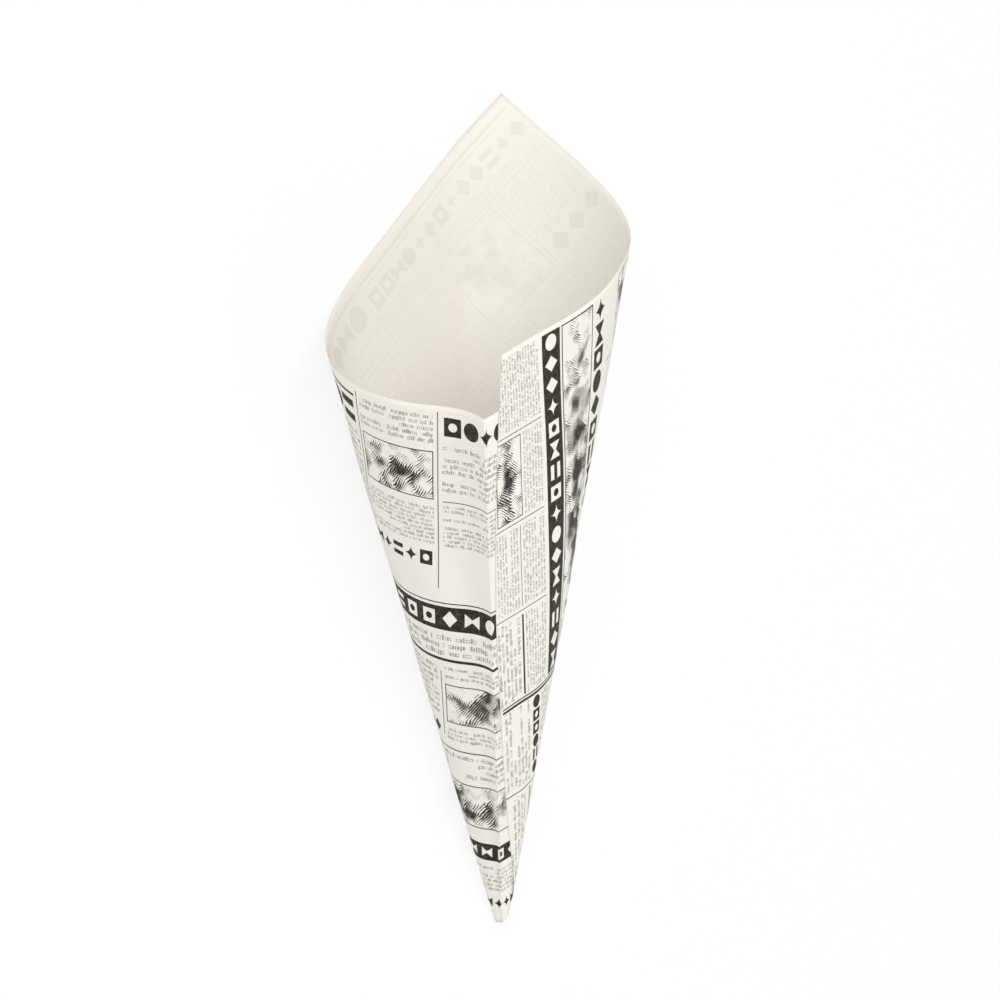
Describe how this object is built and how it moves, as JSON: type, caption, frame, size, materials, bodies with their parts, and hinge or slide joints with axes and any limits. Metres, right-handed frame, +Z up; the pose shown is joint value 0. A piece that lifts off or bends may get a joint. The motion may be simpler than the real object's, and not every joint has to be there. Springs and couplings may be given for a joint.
{
  "type": "greaseproof paper cone",
  "caption": "Open greaseproof paper cone wrapped from a rectangular sheet, with a lapped front seam, a sharp front crease and an open tip, for chips and snacks.",
  "frame": {"origin": "middle of the box's base, on the floor that the cone lies on", "axes": "+Y from the tip towards the mouth, +Z up, with the flat back panel down on the floor and the front seam facing up and towards -X"},
  "size_m": [0.1174, 0.2724, 0.086],
  "materials": {
    "greaseproof_paper": null
  },
  "bodies": {
    "root": {"paper_cone": "greaseproof_paper"}
  },
  "joints": []
}
